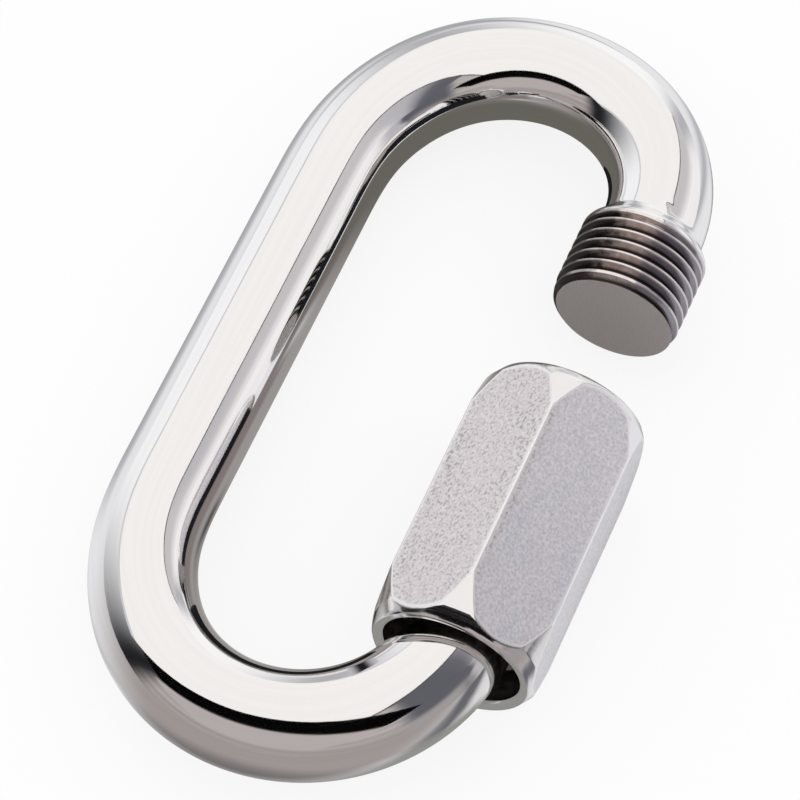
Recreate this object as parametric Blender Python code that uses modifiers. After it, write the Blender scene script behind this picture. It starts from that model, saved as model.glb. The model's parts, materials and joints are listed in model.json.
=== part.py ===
"""Chain quick link: an oval of round bar, open in one leg, closed by a hexagonal sleeve nut.

Units are metres and +Z is up. The link lies on the plane z = 0 with its length along Y, shown open,
with the nut screwed back down its leg. The origin is under the middle of the whole.

Everything is drawn in the link's own plane first: x across the legs, y along them, y = 0 at the end
face of the upper threaded end. That plane is then set down at the tilt at which the link rests, on
its plain leg and on the lowest corner of the nut.
"""

import math

import bmesh
import bpy
from mathutils import Vector

# Bar
BAR_DIAMETER = 0.0080
LEG_SPACING = 0.0249
PLAIN_LEG_LENGTH = 0.0319
PLAIN_LEG_TOP = 0.0051

# Bows: three tangent arcs each, wide where they leave the plain leg and tight on the threaded side
SIDE_ARC_ANGLE = math.radians(40)
TOP_PLAIN_SIDE_RADIUS = 0.0158
TOP_THREAD_SIDE_RADIUS = 0.0110
BOTTOM_PLAIN_SIDE_RADIUS = 0.0152
BOTTOM_THREAD_SIDE_RADIUS = 0.0119

# Threaded ends, thicker than the bar
THREAD_DIAMETER = 0.0100
THREAD_LENGTH = 0.00645
END_FACE_DIAMETER = 0.0095
LEAD_CHAMFER_LENGTH = 0.0010
SHOULDER_LENGTH = 0.0017
GAP_BETWEEN_ENDS = 0.0096

# Right-hand thread: the groove's middle is GROOVE_HEIGHT above an end of its turn, on the outer side
THREAD_PITCH = 0.0010
THREAD_DEPTH = 0.00060
THREAD_CREST_WIDTH = 0.00015
THREAD_ROOT_WIDTH = 0.00015
GROOVE_HEIGHT = 0.00036
GROOVE_STOPS_BEFORE_SHOULDER = 0.00045
RUN_OUT_TURNS = 0.6

# Sleeve nut
NUT_ACROSS_FLATS = 0.0124
NUT_LENGTH = 0.0226
NUT_BORE_DIAMETER = 0.0104
NUT_TOP_BELOW_END_FACE = 0.0090
NUT_CORNER_ANGLE = math.radians(25.9)
NUT_CORNER_ROUNDING = 0.00010
NUT_END_FACE_DIAMETER = 0.0120
END_CHAMFER_LENGTH = 0.0009
CHAMFER_LENGTH_AT_CORNER = 0.0040
CHAMFER_ANGLE = math.radians(11.5)

# Facets
BAR_SIDES = 32
ARC_STEP = math.radians(5)
SHOULDER_STEPS = 4
NUT_TURNING_STEPS = 60
CORNER_ROUNDING_SEGMENTS = 2
SHARP_EDGE_ANGLE = math.radians(20)
MERGE_DISTANCE = 1e-6

# How far the cutting shapes stand past what they cut
THREAD_CUTTER_MARGIN = 0.00010
NUT_BLANK_MARGIN = 0.0003
HEXAGON_MARGIN = 0.0020

# Worked out from the driving dimensions
BAR_RADIUS = BAR_DIAMETER / 2
THREAD_RADIUS = THREAD_DIAMETER / 2
LEG_OFFSET = LEG_SPACING / 2
HEXAGON_STEP = math.tau / 6
NUT_CORNER_RADIUS = NUT_ACROSS_FLATS / math.sqrt(3)
NUT_ROUNDED_CORNER_RADIUS = NUT_CORNER_RADIUS - NUT_CORNER_ROUNDING * (2 - math.sqrt(3))
NUT_CENTRE_Y = -NUT_TOP_BELOW_END_FACE - NUT_LENGTH / 2


def side_arc_rise(plain_side_radius, thread_side_radius):
    """How much further along the leg a bow ends on its threaded side than on its plain side."""
    return (plain_side_radius - thread_side_radius) * math.sin(SIDE_ARC_ANGLE)


def crown_radius(plain_side_radius, thread_side_radius):
    """Radius of the middle arc that makes a bow span exactly from leg to leg."""
    side_reach = (plain_side_radius + thread_side_radius) * (1 - math.cos(SIDE_ARC_ANGLE))
    return (LEG_SPACING - side_reach) / (2 * math.cos(SIDE_ARC_ANGLE))


def bow_height(plain_side_radius, thread_side_radius):
    """From the end of the plain leg to the crown of the bow's centreline."""
    middle = crown_radius(plain_side_radius, thread_side_radius)
    return plain_side_radius * math.sin(SIDE_ARC_ANGLE) + middle * (1 - math.sin(SIDE_ARC_ANGLE))


def rest_tilt():
    """Angle between the link's plane and the floor when bar and nut corner both touch the floor."""
    lowest_corner = NUT_CORNER_ANGLE - 2 * HEXAGON_STEP
    across = LEG_SPACING + NUT_ROUNDED_CORNER_RADIUS * math.cos(lowest_corner)
    drop = NUT_ROUNDED_CORNER_RADIUS * math.sin(lowest_corner)
    return -math.atan2(drop, across) - math.asin(BAR_RADIUS / math.hypot(across, drop))


def placing(tilt):
    """Where the link plane's own origin goes, so that the whole is centred over the world's origin."""
    left = -LEG_OFFSET * math.cos(tilt) - BAR_RADIUS
    corner_reach = max(
        math.cos(NUT_CORNER_ANGLE + tilt + corner * HEXAGON_STEP) for corner in range(6)
    )
    right = LEG_OFFSET * math.cos(tilt) + NUT_ROUNDED_CORNER_RADIUS * corner_reach
    top = PLAIN_LEG_TOP + bow_height(TOP_PLAIN_SIDE_RADIUS, TOP_THREAD_SIDE_RADIUS)
    plain_leg_bottom = PLAIN_LEG_TOP - PLAIN_LEG_LENGTH
    bottom = plain_leg_bottom - bow_height(BOTTOM_PLAIN_SIDE_RADIUS, BOTTOM_THREAD_SIDE_RADIUS)
    height = BAR_RADIUS + LEG_OFFSET * math.sin(tilt)
    return Vector((-(left + right) / 2, -(top + bottom) / 2, height))


def end_profile():
    """Distance from the end face and bar radius, for every ring of a threaded end."""
    rings = [(0.0, END_FACE_DIAMETER / 2), (LEAD_CHAMFER_LENGTH, THREAD_RADIUS)]
    for step in range(SHOULDER_STEPS + 1):
        share = step / SHOULDER_STEPS
        blend = (1 + math.cos(math.pi * share)) / 2
        radius = BAR_RADIUS + (THREAD_RADIUS - BAR_RADIUS) * blend
        rings.append((THREAD_LENGTH + SHOULDER_LENGTH * share, radius))
    return rings


def follow_arc(points, heading, radius, angle):
    """Add a clockwise arc to the centreline and return the heading at its end."""
    steps = round(angle / ARC_STEP)
    start = points[-1]
    centre = start + radius * Vector((math.sin(heading), -math.cos(heading)))
    for step in range(1, steps + 1):
        turned = heading - angle * step / steps
        points.append(centre + radius * Vector((-math.sin(turned), math.cos(turned))))
    return heading - angle


def bow_points(start, heading, side_radii, middle_radius):
    """Centreline of one bow, after its start, turning clockwise through half a turn."""
    points = [start]
    crown_angle = math.pi - 2 * SIDE_ARC_ANGLE
    heading = follow_arc(points, heading, side_radii[0], SIDE_ARC_ANGLE)
    heading = follow_arc(points, heading, middle_radius, crown_angle)
    follow_arc(points, heading, side_radii[1], SIDE_ARC_ANGLE)
    return points[1:]


def bar_path():
    """Centreline points with their radii, from the lower threaded end round to the upper one."""
    bottom_rise = side_arc_rise(BOTTOM_PLAIN_SIDE_RADIUS, BOTTOM_THREAD_SIDE_RADIUS)
    plain_leg_bottom = PLAIN_LEG_TOP - PLAIN_LEG_LENGTH

    lower_end = [
        (Vector((LEG_OFFSET, -GAP_BETWEEN_ENDS - distance)), radius)
        for distance, radius in end_profile()
    ]
    bottom_bow_start = Vector((LEG_OFFSET, plain_leg_bottom - bottom_rise))
    bottom_bow = bow_points(
        bottom_bow_start,
        -math.pi / 2,
        (BOTTOM_THREAD_SIDE_RADIUS, BOTTOM_PLAIN_SIDE_RADIUS),
        crown_radius(BOTTOM_PLAIN_SIDE_RADIUS, BOTTOM_THREAD_SIDE_RADIUS),
    )
    top_bow_start = Vector((-LEG_OFFSET, PLAIN_LEG_TOP))
    top_bow = bow_points(
        top_bow_start,
        math.pi / 2,
        (TOP_PLAIN_SIDE_RADIUS, TOP_THREAD_SIDE_RADIUS),
        crown_radius(TOP_PLAIN_SIDE_RADIUS, TOP_THREAD_SIDE_RADIUS),
    )
    upper_end = [
        (Vector((LEG_OFFSET, distance)), radius) for distance, radius in reversed(end_profile())
    ]

    plain = [bottom_bow_start] + bottom_bow + [top_bow_start] + top_bow
    return lower_end + [(point, BAR_RADIUS) for point in plain] + upper_end


def principled(name, colour, metallic, roughness):
    material = bpy.data.materials.new(name)
    material.use_nodes = True
    shader = material.node_tree.nodes["Principled BSDF"]
    shader.inputs["Base Color"].default_value = (*colour, 1.0)
    shader.inputs["Metallic"].default_value = metallic
    shader.inputs["Roughness"].default_value = roughness
    return material


def apply_modifiers(item):
    """Give the object the mesh that its modifiers make."""
    bpy.context.view_layer.update()
    graph = bpy.context.evaluated_depsgraph_get()
    drawn = item.data
    mesh = bpy.data.meshes.new_from_object(item.evaluated_get(graph))
    item.modifiers.clear()
    item.data = mesh
    bpy.data.meshes.remove(drawn)
    mesh.name = item.name


def shade_round(mesh):
    mesh.shade_smooth()
    mesh.set_sharp_from_angle(angle=SHARP_EDGE_ANGLE)


def make_bar_sweep():
    """The bar swept along its centreline as a welded mesh, before its threads are cut."""
    curve = bpy.data.curves.new("bar_sweep", "CURVE")
    curve.dimensions = "3D"
    curve.twist_mode = "Z_UP"
    curve.bevel_depth = BAR_RADIUS
    curve.bevel_resolution = (BAR_SIDES - 4) // 2
    curve.use_fill_caps = True
    path = bar_path()
    spline = curve.splines.new("POLY")
    spline.points.add(len(path) - 1)
    for spline_point, (place, radius) in zip(spline.points, path):
        spline_point.co = (place.x, place.y, 0.0, 1.0)
        spline_point.radius = radius / BAR_RADIUS
    sweep = bpy.data.objects.new("bar_sweep", curve)
    bpy.context.scene.collection.objects.link(sweep)
    bpy.context.view_layer.update()
    graph = bpy.context.evaluated_depsgraph_get()
    mesh = bpy.data.meshes.new_from_object(sweep.evaluated_get(graph))
    bpy.data.objects.remove(sweep)
    bpy.data.curves.remove(curve)

    shape = bmesh.new()
    shape.from_mesh(mesh)
    bmesh.ops.remove_doubles(shape, verts=shape.verts, dist=MERGE_DISTANCE)
    shape.to_mesh(mesh)
    shape.free()
    return mesh


def groove_profile():
    """Section of the thread's groove as (radius, height from its middle), open side outwards."""
    flank_width = (THREAD_PITCH - THREAD_CREST_WIDTH - THREAD_ROOT_WIDTH) / 2
    half_root = THREAD_ROOT_WIDTH / 2
    half_mouth = half_root + flank_width * (1 + THREAD_CUTTER_MARGIN / THREAD_DEPTH)
    root_radius = THREAD_RADIUS - THREAD_DEPTH
    mouth_radius = THREAD_RADIUS + THREAD_CUTTER_MARGIN
    return [
        (root_radius, -half_root),
        (root_radius, half_root),
        (mouth_radius, half_mouth),
        (mouth_radius, -half_mouth),
    ]


def make_thread_cutter(name, collection, parent, start, end, run_out_at_start):
    """A helical groove up the threaded leg that rises out of the bar at its shoulder end."""
    profile = groove_profile()
    mesh = bpy.data.meshes.new(name)
    vertices = [(radius, 0.0, start + height) for radius, height in profile]
    edges = [(index, (index + 1) % len(profile)) for index in range(len(profile))]
    mesh.from_pydata(vertices, edges, [])
    cutter = bpy.data.objects.new(name, mesh)
    cutter.display_type = "WIRE"
    cutter.hide_render = True
    cutter.parent = parent
    cutter.location = (LEG_OFFSET, 0.0, 0.0)
    cutter.rotation_euler = (-math.pi / 2, 0.0, 0.0)
    collection.objects.link(cutter)

    turns = (end - start) / THREAD_PITCH
    steps = round(turns * BAR_SIDES)
    helix = cutter.modifiers.new("helix", "SCREW")
    helix.axis = "Z"
    helix.angle = math.tau * steps / BAR_SIDES
    helix.screw_offset = THREAD_PITCH * steps / BAR_SIDES
    helix.steps = steps
    helix.render_steps = steps
    apply_modifiers(cutter)

    full_lift = THREAD_DEPTH + THREAD_CUTTER_MARGIN / 2
    shape = bmesh.new()
    shape.from_mesh(cutter.data)
    for vertex in shape.verts:
        step = vertex.index // len(profile)
        turns_from_run_out = (step if run_out_at_start else steps - step) / BAR_SIDES
        lift = full_lift * max(0.0, 1 - turns_from_run_out / RUN_OUT_TURNS)
        outward = Vector((vertex.co.x, vertex.co.y, 0.0)).normalized()
        vertex.co += lift * outward
    bmesh.ops.holes_fill(shape, edges=[edge for edge in shape.edges if edge.is_boundary])
    bmesh.ops.triangulate(shape, faces=shape.faces)
    bmesh.ops.recalc_face_normals(shape, faces=shape.faces)
    shape.to_mesh(cutter.data)
    shape.free()
    return cutter


def make_link_body(collection, cutters, parent, material):
    """The bent bar with a thread cut on each of its thicker ends, in one piece."""
    mesh = make_bar_sweep()
    mesh.name = "link_body"
    mesh.materials.append(material)
    link_body = bpy.data.objects.new("link_body", mesh)
    link_body.parent = parent
    collection.objects.link(link_body)

    lower_shoulder = -GAP_BETWEEN_ENDS - THREAD_LENGTH
    turns_down = math.floor((lower_shoulder - GROOVE_HEIGHT) / THREAD_PITCH) + 1
    ends = (
        ("upper_thread", GROOVE_HEIGHT - THREAD_PITCH, THREAD_LENGTH - GROOVE_STOPS_BEFORE_SHOULDER, False),
        ("lower_thread", GROOVE_HEIGHT + turns_down * THREAD_PITCH, THREAD_PITCH - GAP_BETWEEN_ENDS, True),
    )
    for name, start, end, run_out_at_start in ends:
        cut = link_body.modifiers.new(name, "BOOLEAN")
        cut.operation = "DIFFERENCE"
        cut.solver = "EXACT"
        cut.object = make_thread_cutter(name, cutters, parent, start, end, run_out_at_start)
    apply_modifiers(link_body)
    shade_round(link_body.data)
    return link_body


def nut_end_profile():
    """Outer half profile of one nut end as (radius, distance from the end), from face to blank."""
    slope = math.tan(CHAMFER_ANGLE)
    cone_start = NUT_CORNER_RADIUS - (CHAMFER_LENGTH_AT_CORNER - END_CHAMFER_LENGTH) * slope
    blank_radius = NUT_CORNER_RADIUS + NUT_BLANK_MARGIN
    return [
        (NUT_END_FACE_DIAMETER / 2, 0.0),
        (cone_start, END_CHAMFER_LENGTH),
        (blank_radius, CHAMFER_LENGTH_AT_CORNER + NUT_BLANK_MARGIN / slope),
    ]


def make_nut_blank(collection):
    """The nut as it leaves the lathe: bored, with both ends chamfered, turned about local Z."""
    half = NUT_LENGTH / 2
    bore = NUT_BORE_DIAMETER / 2
    upper = [(radius, half - distance) for radius, distance in nut_end_profile()]
    lower = [(radius, -height) for radius, height in reversed(upper)]
    outline = [(bore, half)] + upper + lower + [(bore, -half)]
    vertices = [(radius, 0.0, height) for radius, height in outline]
    edges = [(index, (index + 1) % len(vertices)) for index in range(len(vertices))]
    mesh = bpy.data.meshes.new("sleeve_nut")
    mesh.from_pydata(vertices, edges, [])
    blank = bpy.data.objects.new("sleeve_nut", mesh)
    collection.objects.link(blank)
    turning = blank.modifiers.new("turning", "SCREW")
    turning.axis = "Z"
    turning.angle = math.tau
    turning.steps = NUT_TURNING_STEPS
    turning.render_steps = NUT_TURNING_STEPS
    turning.use_merge_vertices = True
    turning.merge_threshold = MERGE_DISTANCE
    return blank


def make_hexagon_bar(collection):
    """Hexagonal bar stock with slightly rounded corners, a little longer than the nut."""
    bpy.ops.mesh.primitive_cylinder_add(
        vertices=6,
        radius=NUT_CORNER_RADIUS,
        depth=NUT_LENGTH + 2 * HEXAGON_MARGIN,
        end_fill_type="NGON",
    )
    hexagon = bpy.context.active_object
    hexagon.name = "nut_hexagon"
    for owner in list(hexagon.users_collection):
        owner.objects.unlink(hexagon)
    collection.objects.link(hexagon)
    weights = hexagon.data.attributes.new("bevel_weight_edge", "FLOAT", "EDGE")
    for edge in hexagon.data.edges:
        ends = [hexagon.data.vertices[index].co for index in edge.vertices]
        weights.data[edge.index].value = 1.0 if abs(ends[0].z - ends[1].z) > NUT_LENGTH else 0.0
    rounding = hexagon.modifiers.new("corner_rounding", "BEVEL")
    rounding.limit_method = "WEIGHT"
    rounding.offset_type = "OFFSET"
    rounding.width = NUT_CORNER_ROUNDING
    rounding.segments = CORNER_ROUNDING_SEGMENTS
    return hexagon


def make_sleeve_nut(collection, cutters, parent, material):
    """The turned blank kept where the hexagonal bar stock is, set on the axis of the threaded leg."""
    nut = make_nut_blank(collection)
    nut.parent = parent
    nut.location = (LEG_OFFSET, NUT_CENTRE_Y, 0.0)
    nut.rotation_euler = (-math.pi / 2, 0.0, 0.0)

    hexagon = make_hexagon_bar(cutters)
    hexagon.parent = nut
    hexagon.rotation_euler = (0.0, 0.0, HEXAGON_STEP / 2 - NUT_CORNER_ANGLE)
    hexagon.display_type = "WIRE"
    hexagon.hide_render = True

    flats = nut.modifiers.new("flats", "BOOLEAN")
    flats.operation = "INTERSECT"
    flats.solver = "EXACT"
    flats.object = hexagon
    apply_modifiers(nut)
    nut.data.materials.append(material)
    shade_round(nut.data)
    return nut


def clear_scene():
    for item in list(bpy.data.objects):
        bpy.data.objects.remove(item, do_unlink=True)


def main():
    clear_scene()
    scene_root = bpy.context.scene.collection
    parts = bpy.data.collections.new("chain_quick_link")
    cutters = bpy.data.collections.new("cutters")
    scene_root.children.link(parts)
    scene_root.children.link(cutters)

    tilt = rest_tilt()
    link_plane = bpy.data.objects.new("link_plane", None)
    link_plane.empty_display_size = BAR_DIAMETER
    link_plane.location = placing(tilt)
    link_plane.rotation_euler = (0.0, -tilt, 0.0)
    parts.objects.link(link_plane)

    polished_steel = principled("polished_steel", (0.80, 0.79, 0.78), 1.0, 0.08)
    satin_steel = principled("satin_steel", (0.72, 0.70, 0.71), 1.0, 0.38)
    make_link_body(parts, cutters, link_plane, polished_steel)
    make_sleeve_nut(parts, cutters, link_plane, satin_steel)


main()
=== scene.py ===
"""Studio picture of a chain quick link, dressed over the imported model.

The bar and the sleeve nut are modelled again with fine surfaces: smooth bends, rolled threads, an
internally threaded nut with turned chamfers and blasted flats. Units are metres and +Z is up.
"""

import json
import math

import bmesh
import bpy
import numpy as np
from mathutils import Matrix, Vector


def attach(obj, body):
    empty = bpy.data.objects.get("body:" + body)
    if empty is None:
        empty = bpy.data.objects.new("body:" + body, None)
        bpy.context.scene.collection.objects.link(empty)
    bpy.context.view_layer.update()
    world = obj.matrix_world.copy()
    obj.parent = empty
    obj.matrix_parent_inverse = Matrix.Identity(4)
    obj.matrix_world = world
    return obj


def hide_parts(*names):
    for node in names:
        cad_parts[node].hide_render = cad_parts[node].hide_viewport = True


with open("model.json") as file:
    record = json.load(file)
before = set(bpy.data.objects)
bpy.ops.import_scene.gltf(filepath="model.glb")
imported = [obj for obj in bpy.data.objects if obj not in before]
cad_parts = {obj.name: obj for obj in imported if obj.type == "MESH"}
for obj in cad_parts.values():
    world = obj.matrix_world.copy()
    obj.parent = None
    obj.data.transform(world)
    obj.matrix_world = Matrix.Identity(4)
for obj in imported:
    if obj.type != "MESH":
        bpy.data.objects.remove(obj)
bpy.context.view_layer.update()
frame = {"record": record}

# The link in its own plane: x across the legs, y along them, y = 0 at the upper end face
BAR_RADIUS = 0.0040
LEG_OFFSET = 0.01245
PLAIN_LEG_LENGTH = 0.0319
PLAIN_LEG_TOP = 0.0051
SIDE_ARC_ANGLE = math.radians(40)
TOP_THREAD_SIDE_RADIUS = 0.0110
TOP_PLAIN_SIDE_RADIUS = 0.0158
BOTTOM_PLAIN_SIDE_RADIUS = 0.0152
BOTTOM_THREAD_SIDE_RADIUS = 0.0119
BEND_EASING = 0.0030
SHOULDER_EASING = 0.0010

# Threaded ends
THREAD_RADIUS = 0.0050
THREAD_LENGTH = 0.00645
THREAD_PITCH = 0.0010
THREAD_DEPTH = 0.00060
THREAD_FORM = (0.075, 0.075)
THREAD_CREST_AT = 0.00086
RUN_OUT = (0.00015, 0.00065)
END_FACE_RADIUS = 0.00475
LEAD_CHAMFER_LENGTH = 0.0010
SHOULDER_LENGTH = 0.0017
GAP_BETWEEN_ENDS = 0.0096

# Pinched mark beside the upper shoulder
MARK_FROM_END = 0.0082
MARK_ANGLE = math.radians(73)
MARK_SIZE = 0.00055
MARK_HEIGHT = 0.00009
MARK_WAVES_ALONG = 2.2
MARK_WAVES_AROUND = 1.4

# Sleeve nut
NUT_APOTHEM = 0.0062
NUT_LENGTH = 0.0226
NUT_TOP = -0.0090
CORNER_TO_FLAT_ANGLE = math.radians(30)
NUT_CORNER_ANGLE = math.radians(25.9)
NUT_CORNER_ROUNDING = 0.00017
CHAMFER_LENGTH_AT_CORNER = 0.0040
CHAMFER_ANGLE = math.radians(11.5)
BEVEL_ANGLE = math.radians(31)
BEVEL_LENGTH = 0.0011
RIM_ROUNDING = 0.00012
BEVEL_EASING = 0.00010
TURNED_REACH = 0.0080
FLAT_EDGE_SOFTNESS = 0.00012
EDGE_WEAR_WIDTH = 0.00040
CORNER_WEAR = 0.75
MOUTH_RADIUS = 0.0052
MOUTH_DEPTH = 0.0030
MOUTH_EDGE_ROUNDING = 0.00045
NUT_THREAD_RADIUS = 0.00506
NUT_THREAD_DEPTH = 0.00054
NUT_THREAD_FORM = (0.088, 0.100)

# Where marks and the thread's painted shade lie on the metal, as angles about the leg's axis
PITTED_FLAT_ANGLE = NUT_CORNER_ANGLE + math.radians(90)
THREAD_RIGHT_SHADE_ANGLE = math.radians(10)
THREAD_LEFT_SHADE_ANGLE = math.radians(165)

# Mesh fineness
BAR_COLUMNS = 144
BAR_STEP = 0.0005
SHOULDER_ROWS = 16
ROWS_PER_PITCH = 16
NUT_ROWS_PER_PITCH = 12
FLAT_COLUMNS = 22
CORNER_COLUMNS = 6
RIM_ROWS = 5
BEVEL_ROWS = 3
CONE_ROWS = 10
EDGE_ROWS = 4
FLAT_ROWS = 12
MOUTH_ROWS = 10
MOUTH_EDGE_ROWS = 6
CENTRELINE_STEP = 0.00002
TURNED_STEPS = 4001
BEVEL_SHARE_OF_TURNED_END = 0.95
WELD_DISTANCE = 1e-6
DISC_RINGS = (1.0, 0.96, 0.8, 0.5, 0.2, 0.0)
MARK_STEP = 0.00012
SHARP_EDGE_ANGLE = math.radians(35)

# Camera, fitted to the photograph
CAMERA_AZIMUTH = math.radians(16.706)
CAMERA_ELEVATION = math.radians(60.122)
CAMERA_ROLL = math.radians(7.298)
CAMERA_DISTANCE = 0.292
CAMERA_TARGET = (-0.000627, -0.002046, 0.005986)
CAMERA_SENSOR_WIDTH = 36.0
CAMERA_LENS = 177.48
CAMERA_CLIP_START = 0.01
CAMERA_CLIP_END = 20.0

# Floor, tent and table
FLOOR_SIZE = 6.0
FLOOR_SHADE = 0.96
SHADOW_SHARE = 0.16
TENT_RADIUS = 0.9
TENT_RINGS = 31
TENT_COLUMNS = 121
TABLE_SHEET_HEIGHT = 0.0002
TABLE_SHEET_REACH = 0.8
TABLE_SHEET_COLUMNS = 121
TABLE_SHEET_CROWDING = 6.0

# Level sheets over the object as (left, right, front, back), all at one height
PANEL_HEIGHT = 0.126
SHEET_COLUMNS = 25
LIGHT_PANEL = (-0.19, 0.052, -0.072, 0.30)
PANEL_EDGE = (0.052, 0.057, -0.072, 0.30)
PANEL_LEFT_EDGE = (-0.215, -0.19, -0.072, 0.30)
SIDE_PANEL = (0.057, 0.20, -0.03, 0.35)
BLACK_STRIP = (-0.17, 0.15, -0.150, -0.072)
FRONT_CLOTH = (-0.20, 0.16, -0.45, -0.150)

# Small black cards along the link that paint shadow and dark reflections, as (x, front, back, low,
# high)
CARD_COLUMNS = 13
UPPER_PAINTED_REFLECTION_CARD = (0.0056, 0.0107, 0.0270, 0.0032, 0.0066)
LOWER_PAINTED_REFLECTION_CARD = (0.0045, -0.0200, 0.0001, 0.0030, 0.0066)
MOUTH_SHADOW_CARD = (0.00395, -0.0240, -0.0212, 0.0092, 0.0113)
MOUTH_SHADOW_CARD_BLACKEST = -0.0226

# One that stands across the link as (y, left, right, low, high)
BOW_PAINTED_REFLECTION_CARD = (-0.0200, -0.0060, 0.0036, 0.0046, 0.0072)

# Colours of what the metal reflects
WHITE_CLOTH = (1.0, 1.0, 1.0)
BRIGHT_CLOTH = (0.95, 0.95, 0.97)
DARK_CLOTH = (0.045, 0.045, 0.05)
BEIGE_CLOTH = (0.36, 0.325, 0.315)
PINK_CLOTH = (0.47, 0.43, 0.42)
# Grey of the cloth's folds, also used for the painted shadow beside the plain leg
FOLD_AND_SHADOW_GREY = (0.40, 0.40, 0.43)
BROAD_FOLDS = 0.10
FINE_FOLDS = 0.06
SLATE = (0.12, 0.12, 0.14)
LOW_GREY = (0.36, 0.34, 0.34)
SIDE_GREY = (0.50, 0.49, 0.515)
SIDE_LIGHT = (0.92, 0.90, 0.91)
SIDE_FAR_GREY = (0.58, 0.56, 0.575)
SIDE_FAR_LIGHT = (0.82, 0.79, 0.81)
PANEL_LIGHT = (0.945, 0.922, 0.91)
PANEL_EDGE_DARK = (0.08, 0.08, 0.08)
PANEL_EDGE_PALE = (0.62, 0.62, 0.64)
STRIP_BLACK = (0.0015, 0.0015, 0.0018)
CARD_BLACK = (0.012, 0.012, 0.014)
SOFT_EDGE_GREY = (0.56, 0.56, 0.60)
TABLE_LIGHT = (0.82, 0.82, 0.84)
# Painted shadow and light on the table sheet, under and inside the link and before the nut's mouth
CONTACT_SHADE = (0.13, 0.125, 0.125)
INNER_SHADOW_PALE = (0.78, 0.78, 0.81)
INNER_SHADOW_PINK = (0.22, 0.195, 0.19)
INNER_SHADOW_GREY = (0.33, 0.31, 0.30)
INNER_SHADOW_DARK = (0.14, 0.13, 0.115)
INNER_PAINTED_LIGHT = (0.55, 0.55, 0.54)
MOUTH_SHADOW_GREY = (0.28, 0.28, 0.265)


class Surface:
    """Rows of points round an axis, joined into bands of faces and welded into one closed mesh.

    Each point is (x, y, z, a, b, along, share): its place in the link's plane, its place on the bar
    or nut as if that stood straight, and a share. On a thread that is the share of the full depth
    that is cut there, and on the nut's flats the wear beside their edges.
    """

    def __init__(self):
        self.points = []
        self.faces = []
        self.materials = []

    def add_band(self, rows, material, shift=0):
        """Quads between closed rows; the last column meets the first one, shift rows lower."""
        start = len(self.points)
        columns = len(rows[0])
        for row in rows:
            self.points.extend(row)
        for low in range(len(rows) - 1):
            for column in range(columns):
                after = column + 1
                drop = 0
                if after == columns:
                    after = 0
                    drop = shift
                if low < drop:
                    continue
                near = start + low * columns + column
                far = start + (low - drop) * columns + after
                self.faces.append((near, near + columns, far + columns, far))
                self.materials.append(material(column) if callable(material) else material)

    def add_disc(self, rim, material):
        """A flat end closed by rings that shrink to the middle of its rim."""
        middle = np.mean(np.array(rim), axis=0)
        rings = [
            [tuple(middle + (np.array(point) - middle) * share) for point in rim]
            for share in DISC_RINGS
        ]
        self.add_band(rings, material)

    def make(self, name, to_world, materials):
        points = np.array(self.points)
        mesh = bpy.data.meshes.new(name)
        mesh.from_pydata(points[:, :3], [], self.faces)
        mesh.polygons.foreach_set("material_index", self.materials)
        straight = mesh.attributes.new("straight", "FLOAT_VECTOR", "POINT")
        straight.data.foreach_set("vector", points[:, 3:6].ravel())
        share = mesh.attributes.new("share", "FLOAT", "POINT")
        share.data.foreach_set("value", points[:, 6])
        for material in materials:
            mesh.materials.append(material)
        shape = bmesh.new()
        shape.from_mesh(mesh)
        bmesh.ops.remove_doubles(shape, verts=shape.verts, dist=WELD_DISTANCE)
        bmesh.ops.recalc_face_normals(shape, faces=shape.faces)
        shape.to_mesh(mesh)
        shape.free()
        mesh.transform(to_world)
        mesh.shade_smooth()
        mesh.set_sharp_from_angle(angle=SHARP_EDGE_ANGLE)
        item = bpy.data.objects.new(name, mesh)
        bpy.context.scene.collection.objects.link(item)
        return item


def link_plane():
    """From the link's own plane to the world, read off the flat that a spanner grips."""
    flat = next(m for m in frame["record"]["mounts"] if m["name"] == "spanner_flat")
    normal = Vector(flat["axis"])
    nut_centre = Vector(flat["pos_m"]) - NUT_APOTHEM * normal
    tilt = math.atan2(normal.z, normal.x) - NUT_CORNER_ANGLE - CORNER_TO_FLAT_ANGLE
    turn = Matrix.Rotation(-tilt, 4, "Y")
    return Matrix.Translation(nut_centre - turn @ nut_middle()) @ turn


def nut_middle():
    return Vector((LEG_OFFSET, NUT_TOP - NUT_LENGTH / 2, 0.0))


def fade(value, start, end):
    """0 before the start and 1 past the end, with a soft change between them; either may be higher."""
    share = np.clip((value - start) / (end - start), 0.0, 1.0)
    return share * share * (3 - 2 * share)


def thread_share(phase, form):
    """Share of the full thread depth: 0 on the crest at phase 0, 1 at the root at phase 0.5."""
    crest, root = form
    from_crest = np.abs((phase + 0.5) % 1.0 - 0.5)
    return np.clip((from_crest - crest) / (0.5 - crest - root), 0.0, 1.0)


def helical_rows(low, high, columns, rows_per_pitch):
    """Heights and thread phases of rows that follow the helix, clamped between low and high."""
    angles = np.array(columns)
    step = THREAD_PITCH / rows_per_pitch
    first = THREAD_CREST_AT + math.floor((low - THREAD_CREST_AT) / THREAD_PITCH) * THREAD_PITCH
    count = math.ceil((high + THREAD_PITCH - first) / step) + 1
    rise = np.arange(count)[:, None] * step
    heights = first + rise - THREAD_PITCH * angles[None, :] / math.tau
    heights = np.clip(heights, low, high)
    phases = (heights - THREAD_CREST_AT) / THREAD_PITCH + angles[None, :] / math.tau
    return heights, phases


def around_leg(radii, angles, heights, share=0.0):
    """Points round the threaded leg's axis, one row for each height."""
    across = radii * np.cos(angles)
    up = radii * np.sin(angles)
    values = (LEG_OFFSET + across, heights, up, across, up, heights, share)
    return rows_of_points(values)


def rows_of_points(values):
    points = np.stack(np.broadcast_arrays(*values), axis=-1)
    return [[tuple(point) for point in row] for row in points]


def level_ring(radius, angles, height):
    return around_leg(np.full((1, len(angles)), radius), np.array(angles), np.array([[height]]))[0]


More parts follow.
